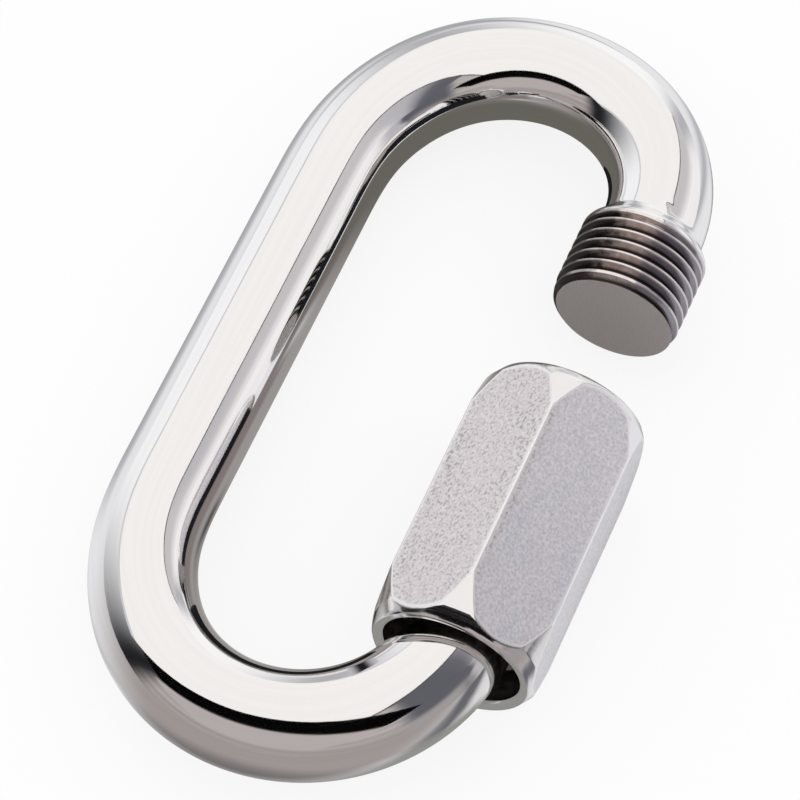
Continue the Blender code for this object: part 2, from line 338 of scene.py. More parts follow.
def stretches():
    """Length and turning angle of each stretch of the bar, from the upper end face to the lower."""
    side = SIDE_ARC_ANGLE
    crown = math.pi - 2 * side

    def bow(first_radius, second_radius):
        side_reach = (first_radius + second_radius) * (1 - math.cos(side))
        middle_radius = (2 * LEG_OFFSET - side_reach) / (2 * math.cos(side))
        return [
            (first_radius * side, side),
            (middle_radius * crown, crown),
            (second_radius * side, side),
        ]

    top_rise = (TOP_PLAIN_SIDE_RADIUS - TOP_THREAD_SIDE_RADIUS) * math.sin(side)
    bottom_rise = (BOTTOM_PLAIN_SIDE_RADIUS - BOTTOM_THREAD_SIDE_RADIUS) * math.sin(side)
    bottom_bow_end = PLAIN_LEG_TOP - PLAIN_LEG_LENGTH - bottom_rise
    return (
        [(PLAIN_LEG_TOP + top_rise, 0.0)]
        + bow(TOP_THREAD_SIDE_RADIUS, TOP_PLAIN_SIDE_RADIUS)
        + [(PLAIN_LEG_LENGTH, 0.0)]
        + bow(BOTTOM_PLAIN_SIDE_RADIUS, BOTTOM_THREAD_SIDE_RADIUS)
        + [(-GAP_BETWEEN_ENDS - bottom_bow_end, 0.0)]
    )


def centreline():
    """Distances, points and headings along the bar, with the curvature eased at each join."""
    lengths, turns = np.array(stretches()).T
    joins = np.cumsum(lengths)[:-1]
    curvatures = turns / lengths
    easings = np.full(len(joins), BEND_EASING)
    easings[0] = SHOULDER_EASING
    knots = np.stack([joins - easings, joins + easings], axis=1).ravel()
    values = np.stack([curvatures[:-1], curvatures[1:]], axis=1).ravel()
    distances = np.arange(0.0, lengths.sum() + CENTRELINE_STEP, CENTRELINE_STEP)
    curvature = np.interp(distances, knots, values)
    turned = np.concatenate([[0.0], np.cumsum(curvature[1:] + curvature[:-1]) / 2])
    turned *= turns.sum() / turned[-1]
    heading = math.pi / 2 + turned
    x = np.concatenate([[0.0], np.cumsum(np.cos(heading[:-1]))]) * CENTRELINE_STEP
    y = np.concatenate([[0.0], np.cumsum(np.sin(heading[:-1]))]) * CENTRELINE_STEP
    x += LEG_OFFSET

    def settle(values, bow_start, bow_end, at, target):
        """Spread over a bow the shift that brings the line to its target at a distance."""
        share = fade(distances, bow_start, bow_end)
        return values + share * (target - np.interp(at, distances, values))

    x = settle(x, joins[0], joins[3], (joins[3] + joins[4]) / 2, -LEG_OFFSET)
    x = settle(x, joins[4], joins[7], distances[-1], LEG_OFFSET)
    y = settle(y, joins[0], joins[3], (joins[3] + joins[4]) / 2, PLAIN_LEG_TOP - PLAIN_LEG_LENGTH / 2)
    y = settle(y, joins[4], joins[7], distances[-1], -GAP_BETWEEN_ENDS)
    return distances, x, y, heading


def bar_radius(from_end):
    """Bar radius at a distance from the nearer end face, past its thread."""
    share = np.clip((from_end - THREAD_LENGTH) / SHOULDER_LENGTH, 0.0, 1.0)
    return BAR_RADIUS + (THREAD_RADIUS - BAR_RADIUS) * (1 + np.cos(math.pi * share)) / 2


def add_bent_bar(surface, angles, material):
    """The plain bar from shoulder to shoulder, swept along the centreline."""
    distances, line_x, line_y, headings = centreline()
    total = distances[-1]
    shoulder = np.linspace(THREAD_LENGTH, THREAD_LENGTH + SHOULDER_LENGTH, SHOULDER_ROWS)
    mark_end = MARK_FROM_END + 2 * MARK_SIZE
    marked = np.arange(shoulder[-1], mark_end, MARK_STEP)
    plain_end = total - shoulder[-1]
    unmarked = np.linspace(mark_end, plain_end, round((plain_end - mark_end) / BAR_STEP))
    middle = np.concatenate([marked, unmarked])
    places = np.concatenate([shoulder[:-1], middle, total - shoulder[-2::-1]])
    x = np.interp(places, distances, line_x)
    y = np.interp(places, distances, line_y)
    heading = np.interp(places, distances, headings)
    radius = bar_radius(np.minimum(places, total - places))
    radii = radius[:, None] + shoulder_mark(places[:, None], angles[None, :])
    across = radii * np.cos(angles)
    up = radii * np.sin(angles)
    points_x = x[:, None] + across * np.sin(heading)[:, None]
    points_y = y[:, None] - across * np.cos(heading)[:, None]
    values = (points_x, points_y, up, across, up, places[:, None], 0.0)
    surface.add_band(rows_of_points(values), material)


def shoulder_mark(from_end, angles):
    """Height of the small pinched mark where the upper shoulder runs into the bar."""
    along = (from_end - MARK_FROM_END) / MARK_SIZE
    around = ((angles - MARK_ANGLE + math.pi) % math.tau - math.pi) * BAR_RADIUS / MARK_SIZE
    near = np.exp(-(along**2) - around**2)
    return MARK_HEIGHT * near * np.cos(MARK_WAVES_ALONG * along - MARK_WAVES_AROUND * around)


def add_threaded_end(surface, angles, face_height, shoulder_height, thread, end_face):
    """One threaded end, from its end face to its shoulder."""
    low, high = sorted((face_height, shoulder_height))
    heights, phases = helical_rows(low, high, angles, ROWS_PER_PITCH)
    depth = fade(np.abs(heights - shoulder_height), *RUN_OUT)
    groove = depth * thread_share(phases, THREAD_FORM)
    radii = THREAD_RADIUS - THREAD_DEPTH * groove
    lead = np.abs(heights - face_height) / LEAD_CHAMFER_LENGTH
    radii = np.minimum(radii, END_FACE_RADIUS + (THREAD_RADIUS - END_FACE_RADIUS) * lead)
    rows = around_leg(radii, angles, heights, groove)
    surface.add_band(rows, thread, shift=ROWS_PER_PITCH)
    surface.add_disc(rows[0] if face_height == low else rows[-1], end_face)


def make_bar(materials):
    surface = Surface()
    angles = np.arange(BAR_COLUMNS) * math.tau / BAR_COLUMNS
    add_bent_bar(surface, angles, 0)
    add_threaded_end(surface, angles, 0.0, THREAD_LENGTH, 1, 2)
    lower_face = -GAP_BETWEEN_ENDS
    add_threaded_end(surface, angles, lower_face, lower_face - THREAD_LENGTH, 1, 2)
    return surface.make("link_bar", link_plane(), materials)


def nut_columns():
    """Angles round the nut's axis, with the hexagon's radius and wear, and whether it is a corner."""
    centre = (NUT_APOTHEM - NUT_CORNER_ROUNDING) / math.cos(CORNER_TO_FLAT_ANGLE)
    side = NUT_CORNER_ROUNDING * math.sin(CORNER_TO_FLAT_ANGLE)
    reach = centre + NUT_CORNER_ROUNDING * math.cos(CORNER_TO_FLAT_ANGLE)
    tangent = math.atan2(side, reach)
    flat_width = 2 * NUT_APOTHEM * math.tan(CORNER_TO_FLAT_ANGLE)
    angles, radii, wear, corners = [], [], [], []
    for corner in range(6):
        middle = NUT_CORNER_ANGLE + corner * math.tau / 6
        for step in range(CORNER_COLUMNS):
            offset = tangent * (2 * step / CORNER_COLUMNS - 1)
            across = centre * math.sin(offset)
            radius = centre * math.cos(offset) + math.sqrt(NUT_CORNER_ROUNDING**2 - across**2)
            angles.append(middle + offset)
            radii.append(radius)
            wear.append(CORNER_WEAR)
            corners.append(True)
        for step in range(FLAT_COLUMNS):
            share = step / FLAT_COLUMNS
            offset = tangent + share * (math.tau / 6 - 2 * tangent)
            angles.append(middle + offset)
            radii.append(NUT_APOTHEM / math.cos(offset - CORNER_TO_FLAT_ANGLE))
            from_corner = min(share, 1 - share) * flat_width
            wear.append(CORNER_WEAR * max(1 - from_corner / EDGE_WEAR_WIDTH, 0.0))
            corners.append(False)
    return np.array(angles), np.array(radii), np.array(wear), corners


def turned_curve():
    """Lengths, radii and distances from the nut's end along its turned rim, bevel and cone."""
    lengths = np.linspace(0.0, TURNED_REACH, TURNED_STEPS)
    rim = RIM_ROUNDING * (math.pi / 2 - BEVEL_ANGLE)
    knots = (0.0, rim, BEVEL_LENGTH, BEVEL_LENGTH + BEVEL_EASING)
    slope = np.interp(lengths, knots, (math.pi / 2, BEVEL_ANGLE, BEVEL_ANGLE, CHAMFER_ANGLE))
    step = lengths[1]
    radii = np.concatenate([[0.0], np.cumsum(np.sin(slope[:-1]))]) * step
    heights = np.concatenate([[0.0], np.cumsum(np.cos(slope[:-1]))]) * step
    corner_radius = NUT_APOTHEM / math.cos(CORNER_TO_FLAT_ANGLE)
    radii += corner_radius - np.interp(CHAMFER_LENGTH_AT_CORNER, heights, radii)
    return lengths, radii, heights


def nut_end_rows(hexagon_radii):
    """Radius and distance from the end of every row, over the turned end and on to the flats."""
    lengths, radii, heights = turned_curve()

    def turned_profile(length):
        return np.interp(length, lengths, radii), np.interp(length, lengths, heights)

    meets = np.interp(hexagon_radii, radii, lengths)
    edge_radius, edge_height = turned_profile(meets)
    turned_end = meets - FLAT_EDGE_SOFTNESS
    before_radius, before_height = turned_profile(turned_end)
    rim = RIM_ROUNDING * (math.pi / 2 - BEVEL_ANGLE)
    bevel = np.linspace(rim, BEVEL_LENGTH, BEVEL_ROWS + 1)
    fixed = np.concatenate([np.linspace(0.0, rim, RIM_ROWS)[:-1], bevel])
    eased = BEVEL_LENGTH + BEVEL_EASING
    fixed = np.append(fixed, (BEVEL_LENGTH + BEVEL_EASING / 2, eased))
    shortened = np.minimum(1.0, BEVEL_SHARE_OF_TURNED_END * turned_end / eased)
    turned = [turned_profile(length * shortened) for length in fixed]
    cone = turned_end - eased * shortened
    turned += [
        turned_profile(eased * shortened + cone * step / CONE_ROWS) for step in range(1, CONE_ROWS)
    ]
    after_height = edge_height + FLAT_EDGE_SOFTNESS
    edge = []
    for step in range(EDGE_ROWS + 1):
        share = step / EDGE_ROWS
        weights = ((1 - share) ** 2, 2 * share * (1 - share), share**2)
        radius = weights[0] * before_radius + (weights[1] + weights[2]) * edge_radius
        height = weights[0] * before_height + weights[1] * edge_height + weights[2] * after_height
        edge.append((radius, height))
    return turned, edge


def make_nut(materials):
    """The sleeve nut, with turned ends, flats, a plain mouth and an internal thread."""
    surface = Surface()
    angles, hexagon_radii, wear, corners = nut_columns()
    turned, edge = nut_end_rows(hexagon_radii)
    half = EDGE_ROWS // 2
    bottom = NUT_TOP - NUT_LENGTH

    def rows(profile, from_top, share):
        placed = []
        for radius, height in profile:
            y = NUT_TOP - height if from_top else bottom + height
            placed.extend(around_leg(np.atleast_2d(radius), angles, np.atleast_2d(y), share))
        return placed

    for from_top in (True, False):
        surface.add_band(rows(turned + edge[: half + 1], from_top, 0.0), 1)
    last_radius, last_height = edge[-1]
    past_wear = [(last_radius, last_height + EDGE_WEAR_WIDTH)]
    upper_flat = rows(edge[half:], True, 1.0) + rows(past_wear, True, wear)
    lower_flat = rows(edge[half:], False, 1.0) + rows(past_wear, False, wear)
    last_upper = np.array(upper_flat[-1])
    last_lower = np.array(lower_flat[-1])
    between = [
        [tuple(point) for point in last_upper + (last_lower - last_upper) * step / FLAT_ROWS]
        for step in range(1, FLAT_ROWS)
    ]
    flat_rows = upper_flat + between + lower_flat[::-1]
    surface.add_band(flat_rows, lambda column: 2 if corners[column] else 0)
    add_nut_bore(surface, angles, bottom, turned[0][0])
    return surface.make("hexagon_sleeve", link_plane(), materials)


def add_nut_bore(surface, angles, bottom, rim_radius):
    """Mouth edges, plain mouth and internal thread."""
    for face, inwards in ((NUT_TOP, -1), (bottom, 1)):
        rows = [around_leg(np.atleast_2d(rim_radius), angles, np.array([[face]]))[0]]
        for turn in np.linspace(0.0, math.pi / 2, MOUTH_EDGE_ROWS):
            radius = MOUTH_RADIUS + MOUTH_EDGE_ROUNDING * (1 - math.sin(turn))
            depth = MOUTH_EDGE_ROUNDING * (1 - math.cos(turn))
            rows.append(level_ring(radius, angles, face + inwards * depth))
        surface.add_band(rows, 1)
    thread_start = bottom + MOUTH_DEPTH
    mouth_heights = np.linspace(bottom + MOUTH_EDGE_ROUNDING, thread_start, MOUTH_ROWS)
    surface.add_band([level_ring(MOUTH_RADIUS, angles, y) for y in mouth_heights], 3)
    thread_end = NUT_TOP - MOUTH_EDGE_ROUNDING
    columns = angles - angles[0]
    heights, phases = helical_rows(thread_start, thread_end, columns, NUT_ROWS_PER_PITCH)
    phases = phases + angles[0] / math.tau
    radii = NUT_THREAD_RADIUS - NUT_THREAD_DEPTH * thread_share(phases, NUT_THREAD_FORM)
    countersink = MOUTH_RADIUS - np.minimum(heights - thread_start, thread_end - heights)
    radii = np.maximum(radii, countersink)
    surface.add_band(around_leg(radii, angles, heights), 3, shift=NUT_ROWS_PER_PITCH)


class Metal:
    """A steel material whose marks are set out on the piece as if it stood straight."""

    def __init__(self, name, colour, roughness):
        self.material = bpy.data.materials.new(name)
        self.material.use_nodes = True
        self.nodes = self.material.node_tree.nodes
        self.links = self.material.node_tree.links
        self.shader = self.nodes["Principled BSDF"]
        self.shader.inputs["Base Color"].default_value = (*colour, 1.0)
        self.shader.inputs["Metallic"].default_value = 1.0
        self.shader.inputs["Roughness"].default_value = roughness
        self.normal = None

    def stored(self, name, output):
        node = self.nodes.new("ShaderNodeAttribute")
        node.attribute_name = name
        return node.outputs[output]

    def noise(self, across, along, detail=3.0, roughness=0.5, distortion=0.0, shift=0.0):
        """Noise with marks of the given size in metres, across the piece and along it."""
        scaled = self.nodes.new("ShaderNodeVectorMath")
        scaled.operation = "MULTIPLY_ADD"
        scaled.inputs[1].default_value = (1 / across, 1 / across, 1 / along)
        scaled.inputs[2].default_value = (shift, shift, shift)
        self.links.new(self.stored("straight", "Vector"), scaled.inputs[0])
        node = self.nodes.new("ShaderNodeTexNoise")
        node.inputs["Scale"].default_value = 1.0
        node.inputs["Detail"].default_value = detail
        node.inputs["Roughness"].default_value = roughness
        node.inputs["Distortion"].default_value = distortion
        self.links.new(scaled.outputs[0], node.inputs["Vector"])
        return node.outputs["Fac"]

    def ranged(self, value, low, high, to_low=0.0, to_high=1.0):
        node = self.nodes.new("ShaderNodeMapRange")
        node.interpolation_type = "SMOOTHSTEP"
        node.inputs["From Min"].default_value = low
        node.inputs["From Max"].default_value = high
        node.inputs["To Min"].default_value = to_low
        node.inputs["To Max"].default_value = to_high
        self.links.new(value, node.inputs["Value"])
        return node.outputs["Result"]

    def facing(self, angle):
        """How far a point lies from the axis towards an angle about it, in metres."""
        node = self.nodes.new("ShaderNodeVectorMath")
        node.operation = "DOT_PRODUCT"
        node.inputs[1].default_value = (math.cos(angle), math.sin(angle), 0.0)
        self.links.new(self.stored("straight", "Vector"), node.inputs[0])
        return node.outputs["Value"]

    def combined(self, operation, first, second):
        node = self.nodes.new("ShaderNodeMath")
        node.operation = operation
        for socket, value in zip(node.inputs, (first, second)):
            if isinstance(value, float):
                socket.default_value = value
            else:
                self.links.new(value, socket)
        return node.outputs[0]

    def mixed_colour(self, share, first, second):
        node = self.nodes.new("ShaderNodeMix")
        node.data_type = "RGBA"
        self.links.new(share, node.inputs["Factor"])
        sockets = [socket for socket in node.inputs if socket.type == "RGBA"]
        for socket, value in zip(sockets, (first, second)):
            if isinstance(value, tuple):
                socket.default_value = (*value, 1.0)
            else:
                self.links.new(value, socket)
        return next(socket for socket in node.outputs if socket.type == "RGBA")

    def colour(self, value):
        self.links.new(value, self.shader.inputs["Base Color"])

    def roughness(self, value):
        self.links.new(value, self.shader.inputs["Roughness"])

    def relief(self, height, distance):
        """Raise the surface by up to a distance in metres, on top of any earlier relief."""
        node = self.nodes.new("ShaderNodeBump")
        node.inputs["Strength"].default_value = 1.0
        node.inputs["Distance"].default_value = distance
        self.links.new(height, node.inputs["Height"])
        if self.normal is not None:
            self.links.new(self.normal, node.inputs["Normal"])
        self.normal = node.outputs["Normal"]
        self.links.new(self.normal, self.shader.inputs["Normal"])


def polished_steel():
    """Mirror polish with fine marks along the bar and a slight unevenness."""
    metal = Metal("polished_steel", (0.93, 0.925, 0.92), 0.05)
    streaks = metal.ranged(metal.noise(0.00045, 0.0300, detail=3.0, roughness=0.6), 0.35, 0.65)
    metal.colour(metal.mixed_colour(streaks, (0.918, 0.91, 0.905), (0.942, 0.936, 0.932)))
    marks = metal.noise(0.00012, 0.0060, detail=4.0)
    metal.roughness(metal.ranged(marks, 0.35, 0.75, 0.035, 0.085))
    metal.relief(metal.noise(0.0022, 0.0060, detail=1.0), 0.0000035)
    metal.relief(marks, 0.0000004)
    return metal.material


def thread_steel():
    """Bright worn crests over flanks in painted shade, near black on the side of the plain leg."""
    metal = Metal("thread_steel", (0.80, 0.76, 0.74), 0.25)
    groove = metal.stored("share", "Fac")
    smudges = metal.noise(0.0009, 0.0012, detail=4.0)
    # Noise that makes the edges of the painted shade on the thread's sides uneven
    shade_edge_wobble = metal.combined("MULTIPLY", metal.ranged(smudges, 0.3, 0.7), 0.0012)
    patchy = metal.ranged(smudges, 0.35, 0.65)
    flank = metal.mixed_colour(patchy, (0.44, 0.38, 0.36), (0.62, 0.55, 0.525))
    # Painted shade: darker on the side facing right, near black on the side facing the plain leg
    to_right = metal.combined("ADD", metal.facing(THREAD_RIGHT_SHADE_ANGLE), shade_edge_wobble)
    right = metal.ranged(to_right, 0.0022, 0.0036)
    flank = metal.mixed_colour(right, flank, (0.30, 0.28, 0.31))
    to_left = metal.combined("ADD", metal.facing(THREAD_LEFT_SHADE_ANGLE), shade_edge_wobble)
    left = metal.ranged(to_left, 0.0024, 0.0040)
    flank = metal.mixed_colour(left, flank, (0.07, 0.062, 0.06))
    # Painted shade: the flanks are darkest towards the roots of the groove
    flank = metal.mixed_colour(metal.ranged(groove, 0.50, 1.0), flank, (0.05, 0.043, 0.04))
    # Painted shade on the crests too, on the same two sides
    crest = metal.mixed_colour(right, (0.90, 0.83, 0.81), (0.66, 0.62, 0.64))
    crest = metal.mixed_colour(left, crest, (0.45, 0.43, 0.42))
    metal.colour(metal.mixed_colour(metal.ranged(groove, 0.02, 0.16), crest, flank))
    metal.roughness(metal.ranged(smudges, 0.3, 0.7, 0.16, 0.30))
    metal.relief(metal.noise(0.0006, 0.00012, detail=3.0), 0.000004)
    return metal.material


def end_face_steel():
    """A sawn and faced end, evenly dull."""
    metal = Metal("end_face_steel", (0.44, 0.42, 0.41), 0.45)
    metal.shader.inputs["Metallic"].default_value = 0.6
    grain = metal.noise(0.00016, 0.00016, detail=3.0)
    grain_share = metal.ranged(grain, 0.3, 0.7)
    metal.colour(metal.mixed_colour(grain_share, (0.50, 0.477, 0.460), (0.56, 0.535, 0.517)))
    metal.relief(grain, 0.000002)
    return metal.material


def blasted_steel():
    """Satin flats with a fine grain and rubbed edges, one of them with many small long pits."""
    metal = Metal("blasted_steel", (0.82, 0.785, 0.80), 0.36)
    patches = metal.noise(0.0040, 0.0060, detail=1.0)
    cells = metal.noise(0.00018, 0.00025, detail=2.0, roughness=0.5, distortion=0.3)
    grain = metal.noise(0.00021, 0.00023, detail=2.0, shift=7.0)
    rub = metal.combined("ADD", metal.stored("share", "Fac"), metal.combined("MULTIPLY", grain, 0.5))
    rub = metal.ranged(rub, 0.45, 1.15)
    pitted = metal.ranged(metal.facing(PITTED_FLAT_ANGLE), 0.0054, 0.0061)
    depth = metal.ranged(pitted, 0.0, 1.0, 0.25, 1.0)
    depth = metal.combined("MULTIPLY", depth, metal.ranged(patches, 0.3, 0.7, 0.6, 1.0))
    depth = metal.combined("MULTIPLY", depth, metal.combined("SUBTRACT", 1.0, rub))
    pits = metal.combined("MULTIPLY", metal.ranged(cells, 0.50, 0.68), depth)
    grain_share = metal.ranged(grain, 0.3, 0.7)
    pale = metal.mixed_colour(grain_share, (0.70, 0.66, 0.67), (0.87, 0.825, 0.83))
    lilac = metal.mixed_colour(grain_share, (0.69, 0.69, 0.725), (0.90, 0.90, 0.94))
    rosy = metal.mixed_colour(grain_share, (0.735, 0.705, 0.74), (0.94, 0.915, 0.945))
    clouds = metal.ranged(metal.noise(0.0032, 0.0045, detail=2.0, shift=3.0), 0.35, 0.65)
    grey = metal.mixed_colour(clouds, lilac, rosy)
    tone = metal.mixed_colour(metal.combined("MAXIMUM", pitted, rub), grey, pale)
    tone = metal.mixed_colour(rub, tone, (0.96, 0.94, 0.95))
    metal.colour(metal.mixed_colour(pits, tone, (0.43, 0.40, 0.415)))
    metal.roughness(metal.ranged(grain, 0.3, 0.7, 0.32, 0.42))
    metal.relief(grain, 0.000003)
    metal.relief(metal.combined("MULTIPLY", pits, -1.0), 0.000010)
    return metal.material


def turned_steel():
    """Bright turned ends with fine rings left by the tool."""
    metal = Metal("turned_steel", (0.90, 0.89, 0.885), 0.10)
    rings = metal.noise(0.0100, 0.00006, detail=2.0)
    metal.roughness(metal.ranged(rings, 0.3, 0.7, 0.08, 0.17))
    metal.relief(rings, 0.0000012)
    metal.relief(metal.noise(0.0016, 0.0008, detail=2.0), 0.000004)
    return metal.material


def worn_corner_steel():
    """Corners rubbed brighter than the flats beside them."""
    metal = Metal("worn_corner_steel", (0.95, 0.93, 0.93), 0.22)
    rubbed = metal.noise(0.00030, 0.0012, detail=3.0)
    metal.roughness(metal.ranged(rubbed, 0.3, 0.7, 0.16, 0.34))
    metal.relief(rubbed, 0.000006)
    return metal.material


def bore_steel():
    """The inside of the nut, coloured dark as painted shade."""
    metal = Metal("bore_steel", (0.30, 0.28, 0.27), 0.30)
    smudges = metal.noise(0.0012, 0.0007, detail=4.0)
    patchy = metal.ranged(smudges, 0.3, 0.7)
    # Painted shade: the bore's colour is dark all over, with a patchy tone
    metal.colour(metal.mixed_colour(patchy, (0.16, 0.15, 0.145), (0.42, 0.39, 0.38)))
    metal.relief(metal.noise(0.0008, 0.0002, detail=3.0), 0.000006)
    return metal.material


def make_camera():
    """The photograph's viewpoint, from its azimuth, elevation and roll about the point it looks at."""
    camera_data = bpy.data.cameras.new("camera")
    camera_data.sensor_width = CAMERA_SENSOR_WIDTH
    camera_data.lens = CAMERA_LENS
    camera_data.clip_start = CAMERA_CLIP_START
    camera_data.clip_end = CAMERA_CLIP_END
    camera = bpy.data.objects.new("camera", camera_data)
    turn = (
        Matrix.Rotation(CAMERA_AZIMUTH, 4, "Z")
        @ Matrix.Rotation(math.pi / 2 - CAMERA_ELEVATION, 4, "X")
        @ Matrix.Rotation(CAMERA_ROLL, 4, "Z")
    )
    back_off = Matrix.Translation((0, 0, CAMERA_DISTANCE))
    camera.matrix_world = Matrix.Translation(CAMERA_TARGET) @ turn @ back_off
    bpy.context.scene.collection.objects.link(camera)
    bpy.context.scene.camera = camera


def white_where_seen(material, shader):
    """Lift a surface towards white for camera, mirror and see-through rays, and for nothing else."""
    nodes = material.node_tree.nodes
    links = material.node_tree.links
    path = nodes.new("ShaderNodeLightPath")
    seen = path.outputs["Is Camera Ray"]
    for ray in ("Is Glossy Ray", "Is Transmission Ray"):
        either = nodes.new("ShaderNodeMath")
        either.operation = "MAXIMUM"
        links.new(seen, either.inputs[0])
        links.new(path.outputs[ray], either.inputs[1])
        seen = either.outputs[0]
    share = nodes.new("ShaderNodeMath")
    share.operation = "MULTIPLY"
    share.inputs[1].default_value = 1.0 - SHADOW_SHARE
    links.new(seen, share.inputs[0])
    glow = nodes.new("ShaderNodeEmission")
    mix = nodes.new("ShaderNodeMixShader")
    links.new(share.outputs[0], mix.inputs["Fac"])
    links.new(shader.outputs[0], mix.inputs[1])
    links.new(glow.outputs[0], mix.inputs[2])
    links.new(mix.outputs[0], nodes["Material Output"].inputs["Surface"])


def make_floor():
    """A pale floor that camera and reflections see as white, with a light shadow of the object."""
    bpy.ops.mesh.primitive_plane_add(size=FLOOR_SIZE, location=(0.0, 0.0, 0.0))
    floor = bpy.context.active_object
    floor.name = "floor"
    material = bpy.data.materials.new("floor_white")
    material.use_nodes = True
    shader = material.node_tree.nodes["Principled BSDF"]
    shader.inputs["Base Color"].default_value = (FLOOR_SHADE, FLOOR_SHADE, FLOOR_SHADE, 1.0)
    shader.inputs["Roughness"].default_value = 1.0
    shader.inputs["Specular IOR Level"].default_value = 0.0
    white_where_seen(material, shader)
    floor.data.materials.append(material)


def reflection_only(name, rows, shade):
    """Hang a glowing sheet in the studio, a grid of places with a colour for each, for mirrors only."""
    columns = len(rows[0])
    places = [place for row in rows for place in row]
    faces = []
    for row in range(len(rows) - 1):
        for column in range(columns - 1):
            corner = row * columns + column
            faces.append((corner, corner + 1, corner + columns + 1, corner + columns))
    mesh = bpy.data.meshes.new(name)
    mesh.from_pydata(places, [], faces)
    colours = mesh.color_attributes.new("shade", "FLOAT_COLOR", "POINT")
    colours.data.foreach_set("color", [part for place in places for part in (*shade(*place), 1.0)])
    material = bpy.data.materials.new(name)
    material.use_nodes = True
    nodes = material.node_tree.nodes
    links = material.node_tree.links
    own = nodes.new("ShaderNodeVertexColor")
    own.layer_name = "shade"
    glow = nodes.new("ShaderNodeEmission")
    links.new(own.outputs["Color"], glow.inputs["Color"])
    links.new(glow.outputs[0], nodes["Material Output"].inputs["Surface"])
    mesh.materials.append(material)
    sheet = bpy.data.objects.new(name, mesh)
    sheet.visible_camera = False
    sheet.visible_diffuse = False
    sheet.visible_transmission = False
    sheet.visible_shadow = False
    bpy.context.scene.collection.objects.link(sheet)


def blend(first, second, share):
    return tuple(a + (b - a) * float(share) for a, b in zip(first, second))


def plain(colour):
    """The same colour all over a sheet."""
    return lambda x, y, z: colour


def hump(value, middle, width):
    """1 at the middle, falling off softly on both sides of it."""
    return math.exp(-(((value - middle) / width) ** 2))


def tent_shade(x, y, z):
    """Colour of the tent: beige in front, dark on both sides of that, and white behind."""
    azimuth = math.degrees(math.atan2(x, -y))
    elevation = math.degrees(math.atan2(z, math.hypot(x, y)))
    if azimuth < 0:
        side = blend(DARK_CLOTH, BRIGHT_CLOTH, fade(azimuth, -62, -120))
        side = blend(side, WHITE_CLOTH, fade(azimuth, -128, -148))
        side = blend(side, CARD_BLACK, 0.9 * hump(azimuth, -64, 9))
        front = fade(azimuth, -61, -48)
    else:
        low = blend(LOW_GREY, SLATE, fade(azimuth, 84, 96))
        side = blend(low, SLATE, fade(elevation, 12, 24))
        grey_from = 91 + 5 * fade(elevation, 15, 24)
        side = blend(side, SIDE_GREY, fade(azimuth, grey_from, grey_from + 4.5))
        side = blend(side, SIDE_LIGHT, fade(azimuth, 105, 120))
        side = blend(side, WHITE_CLOTH, fade(azimuth, 150, 170))
        front = fade(azimuth, 66, 54)
    side = blend(side, FOLD_AND_SHADOW_GREY, 0.9 * (hump(azimuth, -146, 12) + hump(azimuth, 164, 8)))
    beige = blend(BEIGE_CLOTH, PINK_CLOTH, fade(elevation, 0, 35))
    folds = BROAD_FOLDS * math.sin(0.55 * elevation + 0.02 * azimuth)
    folds += FINE_FOLDS * math.sin(1.4 * elevation)
    return blend(side, tuple(part * (1 + folds) for part in beige), front)


def make_tent():
    """A dome of cloth round the object."""
    elevations = np.radians(np.linspace(0.0, 90.0, TENT_RINGS))
    azimuths = np.radians(np.linspace(-180.0, 180.0, TENT_COLUMNS))
    rows = [
        [
            (
                TENT_RADIUS * math.cos(elevation) * math.sin(azimuth),
                -TENT_RADIUS * math.cos(elevation) * math.cos(azimuth),
                TENT_RADIUS * math.sin(elevation),
            )
            for azimuth in azimuths
        ]
        for elevation in elevations
    ]
    reflection_only("tent", rows, tent_shade)


def table_shade(x, y, z):
    """Colour of the table: pinkish in front, white behind, with painted shadow under and inside the
    link.
    """
    azimuth = math.degrees(math.atan2(x, -(y + 0.03)))
    shade = blend(BEIGE_CLOTH, TABLE_LIGHT, fade(abs(azimuth - 8), 60, 120))
    shade = blend(shade, SLATE, 0.95 * fade(azimuth, 86, 94) * fade(azimuth, 108, 101))
    # Painted shadow on the table under the link's outline
    clear = fade(math.hypot(x / 0.0160, y / 0.0343), 0.95, 1.40)
    shade = blend(blend(shade, CONTACT_SHADE, 0.9), shade, clear)
    behind = math.degrees(math.atan2(x, 0.03 - y))
    folds = hump(behind, -131, 16) + hump(behind, 128, 13)
    shade = blend(shade, FOLD_AND_SHADOW_GREY, 0.85 * clear * folds)
    # Painted shadow on the table beside the plain leg
    shadow_beside_leg = fade(x, -0.012, -0.016) * fade(x, -0.036, -0.020) * fade(y, -0.020, -0.010)
    shade = blend(shade, FOLD_AND_SHADOW_GREY, shadow_beside_leg)
    # Painted shadow inside the link, blended in between the legs
    across = fade(x, -0.0145, -0.0115) * fade(x, 0.019, 0.014)
    along = fade(y, -0.034, -0.030) * fade(y, 0.036, 0.030)
    shade = blend(shade, inner_table_painted_shadow(x, y), across * along)
    # Painted shadow on the table before the nut's mouth and the lower bow
    shadow_before_mouth = fade(x, -0.003, 0.001) * fade(x, 0.022, 0.018)
    shadow_before_mouth *= fade(y, -0.0325, -0.0305) * fade(y, -0.0195, -0.0210)
    return blend(shade, MOUTH_SHADOW_GREY, 0.95 * shadow_before_mouth)


